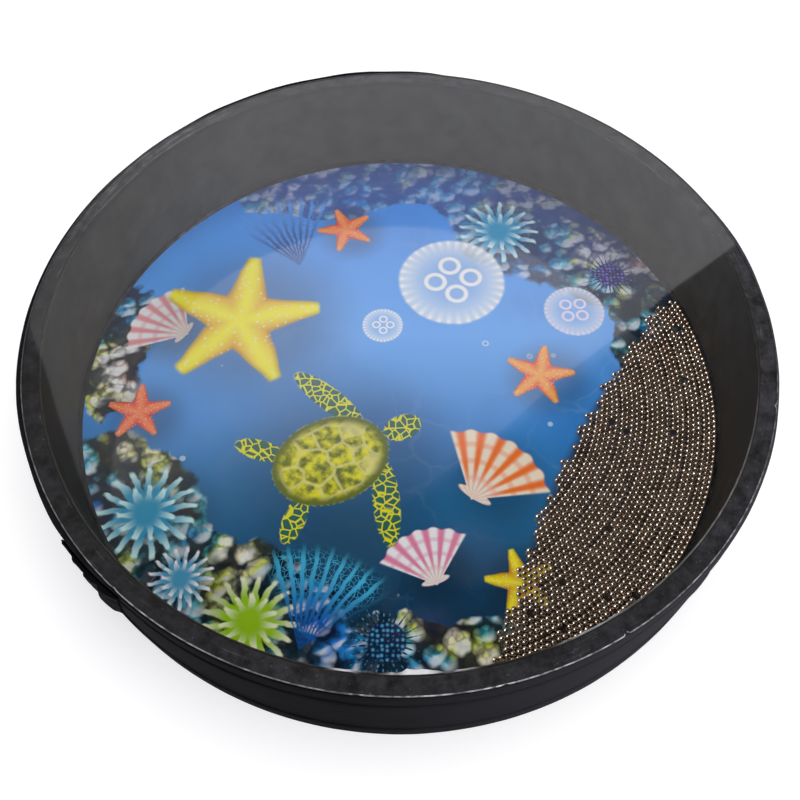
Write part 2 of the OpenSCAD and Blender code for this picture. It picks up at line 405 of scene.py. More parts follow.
# How far the band stands out round the drum: places in degrees, and millimetres there
PROUD = (
    (17, 1.2), (24, 0.7), (33, 0), (75, 0), (85, 1.3), (96, 1.9), (112, 1.6), (124, 1.5), (135, 1.0),
    (147, 0.9), (159, 1.0), (171, 1.1), (184, 1.4), (196, 1.6), (207, 1.2), (217, 1.9), (224, 1.2),
    (232, 0.1), (308, 0), (319, 0.8), (345, 0.5), (360, 0.5),
)
# Share of that at the foot of the band
PROUD_AT_FOOT = 0.35
# The upper edges waver over this height
EDGE_REACH = 3 * MM


def stand_out(point):
    """How far the band stands away from the hoop there, most of it near the top."""
    out = float(np.interp(azimuth(point), *zip(*PROUD), period=360))
    return out * mix(PROUD_AT_FOOT, 1.0, min(1, point.z / strip_top)) * MM


def loose_foot(point):
    """How far the unglued foot of the wrap hangs out at the right."""
    low = max(0, 1 - point.z / LOOSE_TOP)
    return LOOSE_OUT * bump(azimuth(point), LOOSE_AZ, LOOSE_HALF) * low ** 0.8


def cloth_ring(inner, outer, foot, top, rounding, rows, waver, seed, lip=0):
    """A band of cloth with rounded edges and a few rows of points up its outside. Where it stands out, its
    upper edge also rises by the share lip of that."""
    rise = [foot + rounding + (top - foot - 2 * rounding) * k / rows for k in range(rows + 1)]
    profile = [(inner, foot), (outer - rounding, foot), (outer - 0.3 * rounding, foot + 0.3 * rounding)]
    profile += [(outer, z) for z in rise]
    profile += [(outer - 0.3 * rounding, top - 0.3 * rounding), (outer - rounding, top), (inner, top)]
    bm = ring_from(profile)
    for vert in bm.verts:
        if vert.co.to_2d().length < inner + 0.01 * MM:
            continue
        across = wander(vert.co, 22 * MM, seed) * waver + wander(vert.co, 5 * MM, seed + 1) * waver * 0.4
        push_out(vert, across + stand_out(vert.co) + loose_foot(vert.co))
        near_top = max(0, 1 - (top - vert.co.z) / EDGE_REACH)
        vert.co.z += near_top * (0.3 * MM * wander(vert.co, 16 * MM, seed + 2) + lip * stand_out(vert.co))
    return bm


print("the band stands out by up to", max(out for _, out in PROUD), "mm")

# %% Wrap, strip and hem
wrap = cloth_ring(wall_in, wall_r - 0.1 * MM, wrap_foot, wrap_top,
                  rounding=0.15 * MM, rows=10, waver=0.22 * MM, seed=1)
strip = cloth_ring(wall_in, strip_r - 0.05 * MM, strip_foot - 0.8 * MM, strip_top - 0.1 * MM,
                   rounding=0.12 * MM, rows=5, waver=0.12 * MM, seed=5, lip=0.65)
hem = cloth_ring(wall_in, hem_r - 0.1 * MM, hem_foot, hem_top - 0.2 * MM,
                 rounding=0.14 * MM, rows=4, waver=0.1 * MM, seed=9)
piece("outer_wrap", wrap, [black_cloth], "drum", "leathercloth", "outer_wrap")
piece("upper_strip", strip, [strip_cloth], "drum", "leathercloth", "upper_strip")
piece("lower_hem", hem, [hem_cloth_painted_light], "drum", "leathercloth", "lower_hem")

# %% [markdown]
# The gathered end is a grid bent round the wall. It leans, so that its top lies further round than its foot.
# Four folds start abruptly, one after another, and each sinks back until the next one starts. The grid is
# extruded first, so that its back lies on the wall while its front is pushed out.

# %% Gathered end
lap_low, lap_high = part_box("wrap_lap")
LAP_FOOT_AZ = (211.6, 225.2)
LAP_TOP_AZ = (219.2, 231.4)
# Share of the width where each fold starts, and how far out it stands at the foot and at the top, in mm.
# The last row only says where the last fold ends.
FOLDS = ((0.0, 1.6, 0.6), (0.24, 2.7, 1.1), (0.48, 2.7, 1.5), (0.7, 3.2, 2.0), (1.0, 0, 0))
# Share of a fold's width in which it rises
FOLD_RISE = 0.16
# Columns and rows of the grid, and the size over which its unevenness is drawn
LAP_COLUMNS, LAP_ROWS = 150, 36
LAP_LENGTH, LAP_HEIGHT = 38 * MM, 24 * MM


def fold_out(u, v):
    """How far the gathered cloth stands out at share u of its width and share v of its height, in mm."""
    k = max(n for n in range(len(FOLDS) - 1) if u >= FOLDS[n][0])
    start, foot, top = FOLDS[k]
    past = (u - start) / (FOLDS[k + 1][0] - start)
    crest = mix(foot, top, v ** 0.8)
    low = crest * 0.45 if k else 0
    rise = min(1, past / FOLD_RISE)
    rise = rise * rise * (3 - 2 * rise)
    slack = 0.5 if k < len(FOLDS) - 2 else 0.95
    return mix(low, crest, rise) * (1 - slack * past ** 1.5)


gathers = bmesh.new()
bmesh.ops.create_grid(gathers, x_segments=LAP_COLUMNS, y_segments=LAP_ROWS, size=0.5)
grown = bmesh.ops.extrude_face_region(gathers, geom=gathers.faces[:])
raised = [g for g in grown["geom"] if isinstance(g, bmesh.types.BMVert)]
bmesh.ops.translate(gathers, vec=(0, 0, 1), verts=raised)
for vert in gathers.verts:
    u, v, w = min(1, max(0, vert.co.x + 0.5)), vert.co.y + 0.5, vert.co.z
    ragged = wander((u * LAP_LENGTH, v * LAP_HEIGHT, 0), 5 * MM, 3)
    coarse = wander((u * LAP_LENGTH, v * LAP_HEIGHT, 0), 14 * MM, 4)
    out = 0.3 + fold_out(min(1, max(0, u + 0.03 * coarse)), v) + 0.3 * ragged + 0.35 * coarse
    angle = math.radians(mix(mix(*LAP_FOOT_AZ, u), mix(*LAP_TOP_AZ, u), v) + 0.35 * ragged)
    radius = hem_r - 0.5 * MM + max(0.2, out) * w * MM
    height = mix(lap_low.z, lap_high.z, v) + 0.7 * MM * ragged * (v > 0.97)
    vert.co = Vector((radius * math.cos(angle), radius * math.sin(angle), height))
    push_out(vert, stand_out(vert.co))
bmesh.ops.recalc_face_normals(gathers, faces=gathers.faces)
piece("wrap_lap", gathers, [lap_cloth_painted_shade], "drum", "leathercloth", "wrap_lap")

# %% [markdown]
# ## The rim
# Between the film and the hoop lies a ring of black contact adhesive. Seen through the film it is the wide
# black rim of the drum: matt, scuffed, with dust and pale scratches caught under and on the film. It is
# painted blackest at the left and at the front, as painted shade, and brushed along its length at the far
# left.

# %% Rim adhesive material
made_rim, tree, place = finish("contact_adhesive_black")
flat = add(tree, "SeparateXYZ", place)
angle = math_of(tree, "ARCTAN2", flat.outputs["Y"], flat.outputs["X"])
arc = math_of(tree, "MULTIPLY", angle, film_radius)
round_the_rim = add(tree, "CombineXYZ", arc, add(tree, "VectorMath", place, operation="LENGTH"), 0.0)
blotch = add(tree, "TexNoise", place, Scale=1 / (6 * MM), Detail=8, Roughness=0.7)
along = add(tree, "Mapping", round_the_rim, Scale=(1 / (26 * MM), 1 / (0.9 * MM), 1))
wiped = add(tree, "TexNoise", along, Scale=1, Detail=4, Roughness=0.6)
scratch = add(tree, "MapRange", wiped, 0.62, 0.76, 0.0, 0.55)
# The middle of the brushed stretch, in radians round the drum
BRUSHED_AT = 2.5
brushed = math_of(tree, "SUBTRACT", angle, BRUSHED_AT)
brushed = add(tree, "MapRange", brushed, -0.5, 0.5, -1.0, 1.0)
brushed = add(tree, "MapRange", math_of(tree, "ABSOLUTE", brushed), 0.2, 1.0, 1.0, 0.0)
fine_lines = add(tree, "MapRange", wiped, 0.45, 0.66, 0.0, 0.8)
brushed = math_of(tree, "MULTIPLY", brushed, fine_lines)
scratch = math_of(tree, "MAXIMUM", scratch, brushed)
dust = add(tree, "TexVoronoi", place, Scale=1 / (2.6 * MM), Randomness=1.0)
speck = add(tree, "MapRange", dust, 0.02, 0.14, 0.5, 0.0)
pale = math_of(tree, "MAXIMUM", speck, scratch)
pale = math_of(tree, "MULTIPLY", pale, add(tree, "MapRange", blotch, 0.4, 0.62, 0.25, 1.0))
ground = add(tree, "ValToRGB", blotch, stops=((0.36, "#1f1f21"), (0.66, "#4a4a4f")))
# Painted shade: the rim is painted darker towards the left and towards the front
rim_painted_shading = add(tree, "MapRange", flat.outputs["X"], -150 * MM, -30 * MM, 0.45, 1.0)
wear_and_painted_shade = add(tree, "MapRange", flat.outputs["Y"], -120 * MM, -20 * MM, 0.6, 1.0)
rim_painted_shading = math_of(tree, "MULTIPLY", rim_painted_shading, wear_and_painted_shade)
ground = blend(tree, rim_painted_shading, "#100f0d", ground)
skin = blend(tree, pale, ground, "#8b8b92")
rough = add(tree, "MapRange", blotch, 0.3, 0.7, 0.5, 0.75)
relief = add(tree, "Bump", Height=blotch, Strength=0.4, Distance=0.1 * MM)
coat = add(tree, "BsdfPrincipled", Base_Color=skin, Roughness=rough, Normal=relief)
plug(tree, coat.inputs["Specular IOR Level"], 0.1)
add(tree, "OutputMaterial", coat)
print(made_rim.name, "has", len(tree.nodes), "nodes")

# %% Rim adhesive
glue_foot, glue_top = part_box("top_glue")[0].z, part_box("top_glue")[1].z
bore_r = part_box("inner_lining")[1].x
rim = ring_from([
    (bore_r - 0.1 * MM, glue_foot + 0.03 * MM), (film_radius - 0.5 * MM, glue_foot + 0.03 * MM),
    (film_radius - 0.4 * MM, glue_top - 0.02 * MM), (bore_r - 0.15 * MM, glue_top - 0.02 * MM),
])
for vert in rim.verts:
    if vert.co.to_2d().length < bore_r:
        push_out(vert, 0.25 * MM * wander(vert.co, 9 * MM, 21))
piece("rim_adhesive", rim, [made_rim], "drum", "black_glue", "top_glue")

# %% [markdown]
# ## The clear head
# The upper head is clear polyester film. Light goes straight through a film this thin, so its material is
# plain transparency and a mirror, mixed by the Fresnel node, which lets the mirror grow towards grazing
# view. The node divides its index by the side that is seen, so the index is turned over for faces seen
# from inside. The knife leaves the film's edge frosted, and that edge catches light as one thin bright
# line with a few nicks. The frost is painted palest at the front, as a painted highlight of that line.

# %% Clear film material
FILM_IOR = 1.6
film_clear, tree, place = finish("polyester_film_clear")
inside = add(tree, "NewGeometry").outputs["Backfacing"]
index = add(tree, "MapRange", inside, 0.0, 1.0, FILM_IOR, 1 / FILM_IOR)
slack = add(tree, "TexNoise", place, Scale=1 / (60 * MM), Detail=1)
relief = add(tree, "Bump", Height=slack, Strength=0.15, Distance=1 * MM)
mirror = add(tree, "Fresnel", IOR=index, Normal=relief)
through = add(tree, "BsdfTransparent", "#ffffff")
gloss = add(tree, "BsdfAnisotropic", Color="#ffffff", Roughness=0.03, Normal=relief)
add(tree, "OutputMaterial", add(tree, "MixShader", mirror, through, gloss))

film_edge, tree, place = finish("polyester_film_cut_edge")
# This attribute is partly real frost and pale nicks, and partly a painted highlight that is strongest at the
# front
frost_and_highlight = add(tree, "Attribute", attribute_name="frost_and_highlight")
cut = add(tree, "TexNoise", place, Scale=1 / (2.5 * MM), Detail=4)
shade = add(tree, "ValToRGB", cut, stops=((0.38, "#5c5c60"), (0.62, "#e6e6e8")))
shade = blend(tree, frost_and_highlight.outputs["Fac"], "#2b2b30", shade)
add(tree, "OutputMaterial", add(tree, "BsdfPrincipled", Base_Color=shade, Roughness=0.35, IOR=FILM_IOR))
print("clear film of index", FILM_IOR, "with a frosted cut edge")

# %% Clear head
# Nicks in the cut edge: places in degrees, and millimetres of depth
NICKS = ((230.2, 0.25), (227.5, 0.15), (265.1, 0.3), (283.5, 0.45), (300.5, 0.8), (344.4, 0.5))
# White flakes on the frosted line: places in degrees, and millimetres of width
FLAKES = ((300.5, 1.2), (230.2, 0.3), (344.4, 0.6))
CUT_WIDTH = 0.42 * MM
film = bmesh.new()
film_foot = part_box("clear_head")[0].z
bmesh.ops.create_circle(film, cap_ends=True, segments=3 * TURN_STEPS, radius=film_radius)
bmesh.ops.translate(film, vec=(0, 0, film_foot), verts=film.verts)
bmesh.ops.inset_region(film, faces=film.faces[:], thickness=CUT_WIDTH, use_boundary=True)
grown = bmesh.ops.extrude_face_region(film, geom=film.faces[:])
raised = [g for g in grown["geom"] if isinstance(g, bmesh.types.BMVert)]
bmesh.ops.translate(film, vec=(0, 0, film_top - film_foot), verts=raised)
bmesh.ops.recalc_face_normals(film, faces=film.faces)
frost_and_highlight_layer = film.verts.layers.float.new("frost_and_highlight")
for vert in film.verts:
    az = azimuth(vert.co)
    # The cut's pale frost is painted strongest at the front: a painted highlight where the edge catches the
    # light
    wear_and_painted_shade = 0.55 + 0.6 * wander(vert.co, 16 * MM, 32)
    vert[frost_and_highlight_layer] = mix(0.08, 1.0, bump(az, 278, 100)) * min(1, max(0.3, wear_and_painted_shade))
    if vert.co.to_2d().length > film_radius - 0.5 * CUT_WIDTH:
        bite = sum(depth * bump(az, at, 0.6) for at, depth in NICKS)
        push_out(vert, -(bite + 0.08 * abs(wander(vert.co, 3 * MM, 31))) * MM)
    else:
        vert[frost_and_highlight_layer] = max(vert[frost_and_highlight_layer], max(bump(az, at, 0.7) for at, depth in NICKS))
        push_out(vert, -sum(width * bump(az, at, 0.5) for at, width in FLAKES) * MM)
# The small four-sided faces at the edge are the cut, and the two discs are clear
for face in film.faces:
    centre = face.calc_center_median().to_2d().length
    face.material_index = 1 if centre > film_radius - 2 * CUT_WIDTH and len(face.verts) == 4 else 0
piece("clear_head", film, [film_clear, film_edge], "drum", "clear_film", "clear_head")

# %% [markdown]
# ## Adhesive beads
# A bead of milky adhesive sits in the corner between the upper film and the lining. It is fattest at the
# front, where it shows as a pale streak, and thins to a hair line round the right. How milky it is at each
# place is kept on the mesh as an attribute, which its material reads.

# %% Upper bead material
milky, tree, place = finish("hot_melt_adhesive")
milk = add(tree, "Attribute", attribute_name="milk")
lumps = add(tree, "TexNoise", place, Scale=1 / (4 * MM), Detail=3)
skin = blend(tree, milk.outputs["Fac"], "#35342f", "#ececee")
relief = add(tree, "Bump", Height=lumps, Strength=0.5, Distance=0.3 * MM)
add(tree, "OutputMaterial", add(tree, "BsdfPrincipled", Base_Color=skin, Roughness=0.3, Normal=relief))
print(milky.name, "has", len(tree.nodes), "nodes")

# %% Upper bead
chamber_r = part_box("top_bead_fillet")[1].x
bead_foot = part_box("top_bead_fillet")[0].z
bead_leg = glue_top - bead_foot
bead = ring_from([
    (chamber_r, glue_top - 0.01 * MM), (chamber_r - bead_leg, glue_top - 0.01 * MM),
    (chamber_r - 0.45 * bead_leg, glue_top - 0.4 * bead_leg), (chamber_r, bead_foot),
])
# Azimuth of the middle and half width of each milky stretch, in degrees, how milky it is and how fat
MILKY = (
    (262.8, 2.2, 0.9, 0.4), (272.0, 4.2, 1.0, 1.2), (278.5, 2.4, 0.5, 0.2), (297, 6, 0.45, 0.15),
    (323, 27, 0.2, 0),
)
milk_layer = bead.verts.layers.float.new("milk")
for vert in bead.verts:
    az = azimuth(vert.co)
    patch = 0.95 + 1.3 * wander(vert.co, 3 * MM, 41)
    milky_here = fat = 0
    for middle, half, milkiness, fatness in MILKY:
        share = bump(az, middle, half) ** 0.5
        milky_here += share * milkiness
        fat += share * fatness
    vert[milk_layer] = min(1, max(0, patch) * milky_here)
    if vert.co.to_2d().length < chamber_r - 0.1 * MM:
        push_out(vert, bead_leg * (0.65 - 0.7 * fat * max(0, patch) + 0.15 * wander(vert.co, 3 * MM, 42)))
piece("upper_bead", bead, [milky], "drum", "milky_glue", "top_bead_fillet")

# %% [markdown]
# ## The lining
# A band of black card-like vinyl lines the inside. Its end laps over its start at the right, which shows as
# one upright line. The band is not quite smooth: the glue under it leaves shallow swells. It is painted
# lighter at the far side, where the light falls on it, and darker towards the front: painted light and
# shade.

# %% Lining material
liner, tree, place = finish("black_vinyl_lining")
cloud = add(tree, "TexNoise", place, Scale=1 / (14 * MM), Detail=6, Roughness=0.6)
fine = add(tree, "TexNoise", place, Scale=1 / (0.8 * MM), Detail=2)
skin = add(tree, "ValToRGB", cloud, stops=((0.35, "#52504b"), (0.7, "#66625c")))
# Painted light and shade: the lining is painted darker towards the front and lighter at the far side, where
# the light falls
painted_side_light = add(tree, "MapRange", add(tree, "SeparateXYZ", place).outputs["Y"], -90 * MM, 50 * MM, 0.15, 1.0)
skin = blend(tree, painted_side_light, "#1b1813", skin)
rough = add(tree, "MapRange", cloud, 0.3, 0.7, 0.5, 0.65)
relief = add(tree, "Bump", Height=fine, Strength=0.25, Distance=0.1 * MM)
vinyl = add(tree, "BsdfPrincipled", Base_Color=skin, Roughness=rough, IOR=1.2, Normal=relief)
plug(tree, vinyl.inputs["Specular IOR Level"], 0.2)
add(tree, "OutputMaterial", vinyl)
print(liner.name, "has", len(tree.nodes), "nodes")

# %% Lining
lining_low, lining_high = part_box("inner_lining")
# Where the lap's loose edge stands and how far the lap reaches, in degrees, and its thickness
LAP_EDGE_AZ = 11.5
LAP_TURN = 9.5
LAP_THICK = 0.5 * MM
lining_in = chamber_r + 0.05 * MM
rows = 12
rise = [lining_low.z + (lining_high.z - lining_low.z) * k / rows for k in range(rows + 1)]
lining = ring_from([(lining_in, z) for z in rise] + [(bore_r, lining_high.z), (bore_r, lining_low.z)])
for vert in lining.verts:
    if vert.co.to_2d().length < bore_r - 0.1 * MM:
        past = (azimuth(vert.co) - LAP_EDGE_AZ) / LAP_TURN
        lap = LAP_THICK * (1 - past) if 0 <= past <= 1 else 0
        push_out(vert, 0.12 * MM * wander(vert.co, 30 * MM, 51) - lap)
piece("inner_lining", lining, [liner], "drum", "lining", "inner_lining")

# %% [markdown]
# ## Steel shot
# Each solid ball in the frame has its top exactly over its centre, so the highest points of a node give
# every centre. A ball here is an icosphere of 80 faces, turned by chance so that no two catch the light
# alike. The shot is bright carbon steel, a little brown from handling. How dark each ball is lies on the
# mesh.

# %% Shot material
steel, tree, place = finish("carbon_steel_shot")
tone = add(tree, "Attribute", attribute_name="tone")
skin = add(tree, "ValToRGB", tone.outputs["Fac"], stops=((0.0, "#bfae9e"), (1.0, "#e6d9cc")))
add(tree, "OutputMaterial", add(tree, "BsdfPrincipled", Base_Color=skin, Metallic=1.0, Roughness=0.25))
print(steel.name, "has", len(tree.nodes), "nodes")

# %% Shot
# Points that lie closer together than this are one
SNAP = 0.02 * MM
chance = random.Random(7)
shot_nodes = [name for name in frame["nodes"] if name.startswith("shot_")]
bodies = frame["record"]["behaviour"]["bodies"]
body_of_node = {node: body for body, nodes in bodies.items() for node in nodes}


def ball_centres(name):
    """Centres and radius of the balls of one node."""
    solid = frame["nodes"][name].data
    points = np.zeros(len(solid.vertices) * 3)
    solid.vertices.foreach_get("co", points)
    points = points.reshape(-1, 3)
    top, foot = points[:, 2].max(), points[:, 2].min()
    peaks = points[points[:, 2] > top - 0.001 * MM]
    peaks = np.unique((peaks / SNAP).round(), axis=0) * SNAP
    radius = (top - foot) / 2
    return [Vector((x, y, top - radius)) for x, y, _ in peaks], radius


ball_count = 0
for name in sorted(shot_nodes):
    centres, radius = ball_centres(name)
    balls = bmesh.new()
    tone_layer = balls.verts.layers.float.new("tone")
    for centre in centres:
        angle = chance.uniform(0, 2 * math.pi)
        spin = Matrix.Rotation(angle, 4, Vector((chance.random(), chance.random(), 1)))
        at = Matrix.Translation(centre) @ spin
        made = bmesh.ops.create_icosphere(balls, subdivisions=2, radius=radius, matrix=at)
        shade = chance.random()
        for vert in made["verts"]:
            vert[tone_layer] = shade
    ball_count += len(centres)
    piece(name + "_balls", balls, [steel], body_of_node[name], "steel_shot", name)
print(ball_count, "balls of", round(2 * radius / MM, 2), "mm")

# %% [markdown]
# ## What stays as it was made
# The hoop, the lower adhesive and the lower bead keep their solids and get better finishes. The hoop is
# bent plywood under a dark stain, in which a faint grain shows. The other two are black like the rim.

# %% Hoop, lower adhesive and bead
ply, tree, place = finish("stained_plywood")
plies = add(tree, "TexWave", place, Scale=1 / (40 * MM), Distortion=6, Detail=3)
skin = add(tree, "ValToRGB", plies, stops=((0.2, "#2a211b"), (0.8, "#3d3028")))
add(tree, "OutputMaterial", add(tree, "BsdfPrincipled", Base_Color=skin, Roughness=0.6))
for name, made in (("shell", ply), ("bottom_glue", made_rim), ("bottom_bead_fillet", made_rim)):
    mesh = frame["nodes"][name].data
    mesh.materials.clear()
    mesh.materials.append(made)
    print(name, "is finished in", made.name)

# %% [markdown]
# ## The picture
# The lower head is glossy film with an underwater picture printed on it. A picture could be painted and
# loaded, but shapes worked out in the material stay sharp at any size and need no file. Each motif is drawn
# once, as a node group that looks at a circle of radius 1. The picture then lays the motifs over the water
# one by one, as paper cut-outs are laid, each at its own place, size, turn and colours.

# %% Shape helpers
def warped(tree, place, size, amount):
    """Places pushed about by smooth chance, so that what is drawn at them isn't quite even."""
    chance = add(tree, "TexNoise", place, Scale=1 / size, Detail=2).outputs["Color"]
    return add(tree, "VectorMath", chance, (amount, amount, 0), place, operation="MULTIPLY_ADD")


def soft_step(tree, value, low, high, first=0.0, last=1.0):
    return add(tree, "MapRange", value, low, high, first, last, interpolation_type="SMOOTHSTEP")


def oval(tree, place, x, y, wide, high, turn=0, soft=0.08):
    """1 inside an ellipse and 0 outside it."""
    at = add(tree, "Mapping", place, Location=(x, y, 0), Rotation=(0, 0, math.radians(turn)),
             Scale=(wide, high, 1), vector_type="TEXTURE")
    reach = add(tree, "VectorMath", at, operation="LENGTH")
    return soft_step(tree, reach, 1 - soft, 1 + soft, 1.0, 0.0)


def arms(tree, place, count, root, tip):
    """Arms round the centre: how deep inside an arm's edge a place lies, how far along it and across it."""
    flat = add(tree, "SeparateXYZ", place)
    angle = math_of(tree, "ARCTAN2", flat.outputs["Y"], flat.outputs["X"])
    sector = math_of(tree, "PINGPONG", angle, math.pi / count)
    reach = add(tree, "VectorMath", place, operation="LENGTH")
    along = math_of(tree, "MULTIPLY", reach, math_of(tree, "COSINE", sector))
    across = math_of(tree, "MULTIPLY", reach, math_of(tree, "SINE", sector))
    width = add(tree, "MapRange", along, 0.0, 1.0, root, tip)
    return math_of(tree, "SUBTRACT", width, across), along, across


def both(tree, first, second):
    return math_of(tree, "MULTIPLY", first, second)


def either(tree, first, second):
    return math_of(tree, "MAXIMUM", first, second)


def motif(name, draw):
    """A node group that draws in a circle of radius 1. It takes a place and a light and a dark colour, and
    gives how much the motif covers there, and its colour."""
    tree = bpy.data.node_groups.new(name, "ShaderNodeTree")
    for label, kind in (("Place", "Vector"), ("Light", "Color"), ("Dark", "Color")):
        tree.interface.new_socket(name=label, in_out="INPUT", socket_type="NodeSocket" + kind)
    for label, kind in (("Cover", "Float"), ("Shade", "Color")):
        tree.interface.new_socket(name=label, in_out="OUTPUT", socket_type="NodeSocket" + kind)
    start = tree.nodes.new("NodeGroupInput")
    drawn = draw(tree, start.outputs["Place"], start.outputs["Light"], start.outputs["Dark"])
    end = tree.nodes.new("NodeGroupOutput")
    for socket, value in zip(end.inputs, drawn):
        plug(tree, socket, value)
    print(name, len(tree.nodes), "nodes")
    return tree


# %% [markdown]
# A sea star is five arms with a pale ridge and rows of warts. The same arms, many and thin, make an anemone
# and an urchin.

# %% Star, anemone and urchin
def draw_star(tree, place, light, dark):
    place = warped(tree, place, 0.7, 0.16)
    inside, along, across = arms(tree, place, 5, 0.36, 0.09)
    cover = both(tree, soft_step(tree, inside, 0, 0.04), soft_step(tree, along, 0.93, 1.0, 1.0, 0.0))
    ridge = soft_step(tree, across, 0.0, 0.24, 1.0, 0.0)
    shade = blend(tree, ridge, dark, light)
    warts = add(tree, "TexVoronoi", place, Scale=15, Randomness=0.7)
    bright = soft_step(tree, warts, 0.12, 0.36, 0.75, 0.0)
    shade = blend(tree, bright, shade, "#fff7cf")
    rim = soft_step(tree, inside, 0.0, 0.1, 0.45, 0.0)
    return cover, blend(tree, rim, shade, "#3a2c08")


def draw_anemone(tree, place, light, dark):
    place = warped(tree, place, 0.35, 0.2)
    inside, along, _ = arms(tree, place, 17, 0.13, 0.055)
    outer = both(tree, soft_step(tree, inside, 0, 0.04), soft_step(tree, along, 0.9, 1.0, 1.0, 0.0))
    core = add(tree, "Mapping", place, Rotation=(0, 0, 0.3), Scale=(1.6, 1.6, 1))
    inside, close, _ = arms(tree, core, 11, 0.17, 0.09)
    inner = both(tree, soft_step(tree, inside, 0, 0.05), soft_step(tree, close, 0.85, 1.0, 1.0, 0.0))
    shade = blend(tree, soft_step(tree, along, 0.45, 1.0), dark, light)
    petals = blend(tree, soft_step(tree, close, 0.3, 0.95), dark, light)
    shade = blend(tree, inner, shade, petals)
    return either(tree, outer, inner), shade


def draw_urchin(tree, place, light, dark):
    spines, along, _ = arms(tree, warped(tree, place, 0.5, 0.08), 27, 0.05, 0.004)
    reach = add(tree, "VectorMath", place, operation="LENGTH")
    spread = both(tree, soft_step(tree, spines, 0, 0.012), soft_step(tree, along, 0.85, 1.0, 1.0, 0.0))
    body = soft_step(tree, reach, 0.4, 0.46, 1.0, 0.0)
    knobs = add(tree, "TexVoronoi", place, Scale=9, Randomness=0.4)
    shade = blend(tree, soft_step(tree, knobs, 0.1, 0.5, 1.0, 0.0), dark, light)
    return either(tree, spread, body), shade


star = motif("sea_star", draw_star)
anemone = motif("anemone", draw_anemone)
urchin = motif("urchin", draw_urchin)

# %% [markdown]
# A turtle seen from above is ovals: a plated shell, a head, and two pairs of flippers. One side is drawn and
# the absolute value of Y makes the other.

# %% Turtle
def draw_turtle(tree, place, light, dark):
    flat = add(tree, "SeparateXYZ", place)
    side = add(tree, "CombineXYZ", flat.outputs["X"], math_of(tree, "ABSOLUTE", flat.outputs["Y"]), 0.0)
    shell = oval(tree, place, -0.04, 0, 0.6, 0.47, soft=0.03)
    front_limbs = oval(tree, side, 0.24, 0.66, 0.46, 0.13, turn=112)
    limbs = either(tree, oval(tree, place, 0.76, 0, 0.2, 0.14), front_limbs)
    limbs = either(tree, limbs, oval(tree, side, -0.62, 0.42, 0.26, 0.11, turn=135))
    uneven = warped(tree, side, 0.4, 0.05)
    plates = add(tree, "TexVoronoi", uneven, Scale=4.2, feature="DISTANCE_TO_EDGE", Randomness=0.55)
    seams = soft_step(tree, plates, 0.02, 0.1, 0.75, 0.0)
    fan = add(tree, "TexNoise", place, Scale=9, Detail=4)
    shade = blend(tree, soft_step(tree, fan, 0.35, 0.65), dark, light)
    shade = blend(tree, seams, shade, "#e9e28a")
    edge = oval(tree, place, -0.04, 0, 0.52, 0.4, soft=0.12)
    shade = blend(tree, edge, dark, shade)
    scales = add(tree, "TexVoronoi", place, Scale=13, feature="DISTANCE_TO_EDGE")
    skin = blend(tree, soft_step(tree, scales, 0.03, 0.12), light, "#2d6a5c")
    return either(tree, shell, limbs), blend(tree, shell, skin, shade)


turtle = motif("turtle", draw_turtle)

# %% [markdown]
# A scallop is a fan of ribs round its hinge. A moon jelly is a veil with a bright rim and four rings. A sea
# fan is a net of fine branches that spreads from its root.

# %% Scallop, jelly and sea fan
def draw_scallop(tree, place, light, dark):
    hinge = add(tree, "Mapping", place, Location=(0, 0.85, 0))
    flat = add(tree, "SeparateXYZ", hinge)
    angle = math_of(tree, "ARCTAN2", flat.outputs["X"], flat.outputs["Y"])
    ribs = math_of(tree, "COSINE", math_of(tree, "MULTIPLY", angle, 22))
    reach = math_of(tree, "DIVIDE", add(tree, "VectorMath", hinge, operation="LENGTH"), 1.8)
    edge = math_of(tree, "MULTIPLY_ADD", ribs, -0.02, reach)
    wide = soft_step(tree, math_of(tree, "ABSOLUTE", angle), 0.82, 0.87, 1.0, 0.0)
    fan = both(tree, wide, soft_step(tree, edge, 0.96, 1.0, 1.0, 0.0))
    ears = oval(tree, place, 0, -0.7, 0.42, 0.11)
    shade = blend(tree, soft_step(tree, ribs, -1.0, 0.7), dark, light)
    rings = math_of(tree, "SINE", math_of(tree, "MULTIPLY", reach, 26))
    shade = blend(tree, soft_step(tree, rings, 0.2, 1.0, 0.0, 0.4), shade, dark)
    shade = blend(tree, soft_step(tree, reach, 0.1, 0.5, 0.7, 0.0), shade, "#f7f1e2")
    return either(tree, fan, ears), shade


def draw_jelly(tree, place, light, dark):
    reach = add(tree, "VectorMath", warped(tree, place, 0.6, 0.06), operation="LENGTH")
    fringe, _, _ = arms(tree, place, 34, 0.02, 0.06)
    veil = soft_step(tree, reach, 0.93, 1.0, 1.0, 0.0)
    thick = soft_step(tree, reach, 0.3, 0.95, 0.3, 0.85)
    lines = both(tree, soft_step(tree, fringe, 0, 0.03), soft_step(tree, reach, 0.6, 0.95))
    _, along, across = arms(tree, place, 4, 0, 0)
    off = add(tree, "CombineXYZ", math_of(tree, "SUBTRACT", along, 0.33), across, 0.0)
    ring = math_of(tree, "SUBTRACT", add(tree, "VectorMath", off, operation="LENGTH"), 0.17)
    ring = soft_step(tree, math_of(tree, "ABSOLUTE", ring), 0.02, 0.07, 1.0, 0.0)
    marks = either(tree, ring, lines)
    cover = both(tree, veil, either(tree, thick, marks))
    return cover, blend(tree, marks, light, dark)


